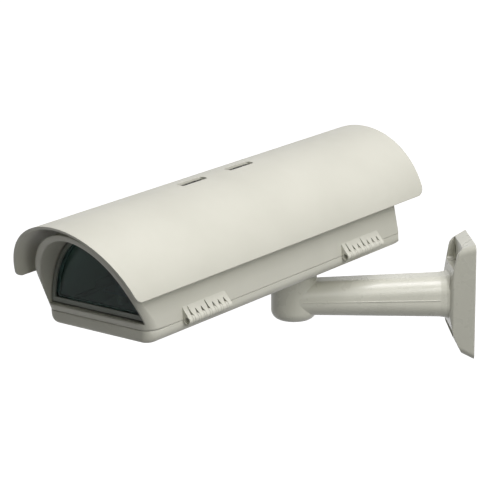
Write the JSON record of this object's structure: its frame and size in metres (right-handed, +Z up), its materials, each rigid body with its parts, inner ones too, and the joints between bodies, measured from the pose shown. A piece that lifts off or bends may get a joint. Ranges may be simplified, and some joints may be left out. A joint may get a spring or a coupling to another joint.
{
  "type": "security camera housing",
  "caption": "Outdoor security camera housing with a side-hinged cover, sloped sunshield and framed window, on a wall bracket that pans and tilts.",
  "frame": {"origin": "centre of the wall plate's back face, in the middle of its four screw holes", "axes": "+Y into the wall, -Y out along the arm, +Z up, +X to the hinge side's half of the wall; the housing is stored panned 46.8 degrees about Z and tilted 4 degrees nose-down"},
  "size_m": [0.4, 0.4322, 0.2127],
  "materials": {
    "housing_paint": "satin warm grey paint",
    "bracket_paint": "semi-gloss warm grey paint",
    "frame_paint": "satin grey-green paint",
    "bare_aluminium": "mill finish",
    "steel": "zinc plated",
    "black_rubber": "matt",
    "gland_plastic": "light grey moulded",
    "grey_plastic": "moulded",
    "board_green": "solder mask",
    "window_glass": "polished"
  },
  "bodies": {
    "wall_side": {"wall_bracket": "bracket_paint", "cable_grommet": "black_rubber", "pan_lock_screw": "steel"},
    "pan_head": {"swivel": "bracket_paint", "pan_bolt": "steel", "pan_washer": "steel", "tilt_bolt": "steel", "tilt_nut": "steel"},
    "base": {"tilt_foot": "housing_paint", "foot_screws": "steel", "base_tray": "housing_paint", "tray_gasket": "black_rubber", "hinge_pin_front": "steel", "hinge_pin_rear": "steel", "camera_slide": "bare_aluminium", "slide_screws": "steel", "camera_screw": "steel", "terminal_board": "board_green", "board_screws": "steel", "terminal_block": "grey_plastic", "gland_body_1": "gland_plastic", "gland_nut_1": "gland_plastic", "gland_cap_1": "gland_plastic", "gland_plug_1": "black_rubber", "gland_body_2": "gland_plastic", "gland_nut_2": "gland_plastic", "gland_cap_2": "gland_plastic", "gland_plug_2": "black_rubber"},
    "cover": {"cover_shell": "housing_paint", "window_gasket": "black_rubber", "window_frame": "frame_paint", "window_glass": "window_glass", "glass_retainer": "frame_paint", "window_screws": "steel", "window_clamp": "steel", "clamp_screw": "steel", "sunshield": "housing_paint", "shield_screws": "steel", "shield_washers": "steel", "closure_screw_front": "steel", "closure_screw_rear": "steel"}
  },
  "joints": [
    {"name": "pan", "type": "hinge", "parent": "wall_side", "child": "pan_head", "pos_m": [0, -0.173, 0.02], "axis": [0, 0, 1], "range_deg": [-136.8, 43.2]},
    {"name": "tilt", "type": "hinge", "parent": "pan_head", "child": "base", "pos_m": [0, -0.173, 0.0278], "axis": [0.6845, 0.729, 0], "range_deg": [-16, 25]},
    {"name": "cover_hinge", "type": "hinge", "parent": "base", "child": "cover", "pos_m": [0.1145, -0.18615, 0.04559], "axis": [-0.7272, 0.6829, 0.0698], "range_deg": [0, 80]}
  ]
}
